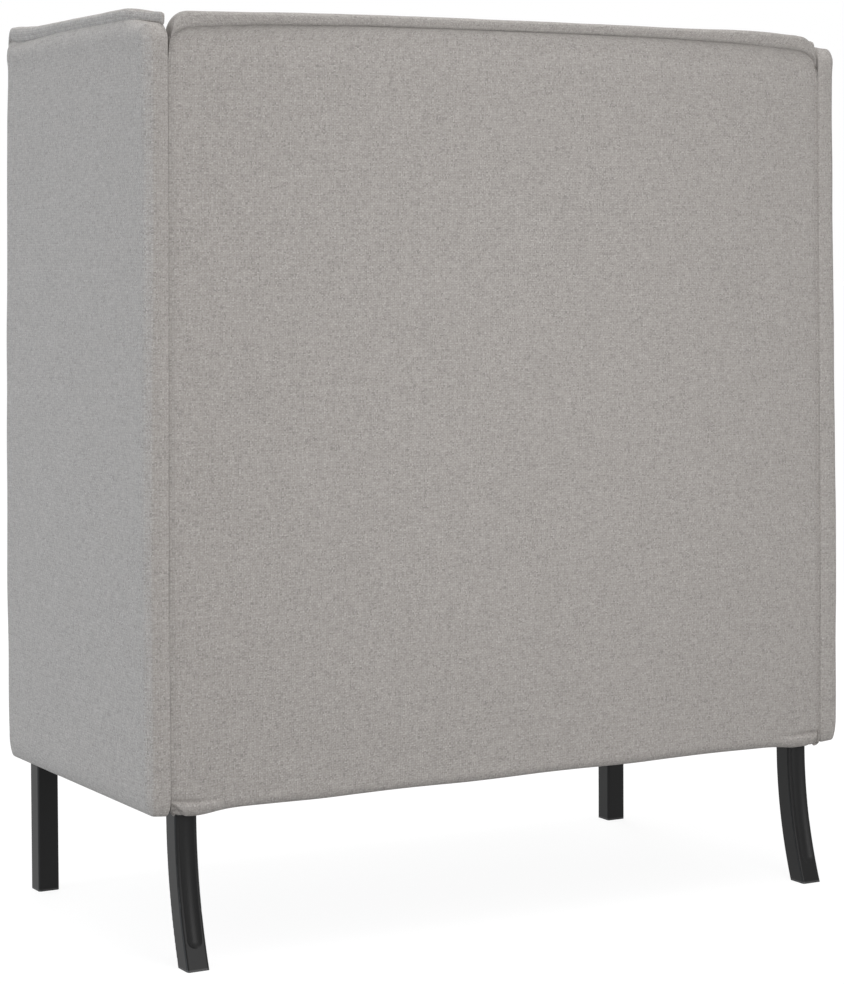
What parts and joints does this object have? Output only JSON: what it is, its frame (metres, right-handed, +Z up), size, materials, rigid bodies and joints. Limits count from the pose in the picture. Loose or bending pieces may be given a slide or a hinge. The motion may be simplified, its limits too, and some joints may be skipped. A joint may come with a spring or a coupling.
{
  "type": "high-back sofa",
  "caption": "High-back sofa with full-height upholstered wings, a loose bench seat cushion and square-tube metal legs, the rear ones bent backwards.",
  "frame": {"origin": "on the floor, under the middle of the whole sofa's width and depth", "axes": "+Z up; the sitter faces -Y and the back panel is towards +Y; +X is the sitter's left"},
  "size_m": [1.236, 0.636, 1.381],
  "materials": {
    "cover_fabric": "light grey flecked woven upholstery cloth",
    "lining_cloth": "black non-woven lining",
    "webbing": "elastic webbing",
    "foam": "polyurethane foam and fibre wadding",
    "frame_wood": "raw plywood and softwood",
    "leg_steel": "satin black powder coat",
    "glide_plastic": "black push-in end cap",
    "fastener_steel": "zinc plated"
  },
  "bodies": {
    "frame": {"back_band": "cover_fabric", "back_bottom_rail": "frame_wood", "back_foam": "foam", "back_inner_cover": "cover_fabric", "back_middle_rail": "frame_wood", "back_outer_cover": "cover_fabric", "back_outer_pad": "foam", "back_stile_left": "frame_wood", "back_stile_right": "frame_wood", "back_top_rail": "frame_wood", "back_webbing": "webbing", "dust_cover": "lining_cloth", "front_leg_glides": "glide_plastic", "front_leg_left": "leg_steel", "front_leg_plates": "leg_steel", "front_leg_right": "leg_steel", "left_wing_arm_rail": "frame_wood", "left_wing_band": "cover_fabric", "left_wing_bottom_rail": "frame_wood", "left_wing_front_post": "frame_wood", "left_wing_inner_cover": "cover_fabric", "left_wing_inner_pad": "foam", "left_wing_outer_cover": "cover_fabric", "left_wing_outer_pad": "foam", "left_wing_rear_post": "frame_wood", "left_wing_top_rail": "frame_wood", "leg_screws": "fastener_steel", "panel_bolts": "fastener_steel", "panel_dowels": "frame_wood", "panel_inserts": "fastener_steel", "rear_leg_glides": "glide_plastic", "rear_leg_left": "leg_steel", "rear_leg_plates": "leg_steel", "rear_leg_right": "leg_steel", "right_wing_arm_rail": "frame_wood", "right_wing_band": "cover_fabric", "right_wing_bottom_rail": "frame_wood", "right_wing_front_post": "frame_wood", "right_wing_inner_cover": "cover_fabric", "right_wing_inner_pad": "foam", "right_wing_outer_cover": "cover_fabric", "right_wing_outer_pad": "foam", "right_wing_rear_post": "frame_wood", "right_wing_top_rail": "frame_wood", "seat_base_cover": "cover_fabric", "seat_base_foam": "foam", "seat_centre_rail": "frame_wood", "seat_corner_blocks": "frame_wood", "seat_deck_cloth": "lining_cloth", "seat_front_rail": "frame_wood", "seat_rear_rail": "frame_wood", "seat_side_rail_left": "frame_wood", "seat_side_rail_right": "frame_wood", "seat_webbing_crosswise": "webbing", "seat_webbing_lengthwise": "webbing"},
    "seat_cushion": {"seat_cushion_base_cloth": "lining_cloth", "seat_cushion_cover": "cover_fabric", "seat_cushion_foam": "foam"}
  },
  "joints": [
    {"name": "cushion_lift", "type": "slide", "parent": "frame", "child": "seat_cushion", "axis": [0, 0, 1], "range_m": [0, 1.08]}
  ]
}
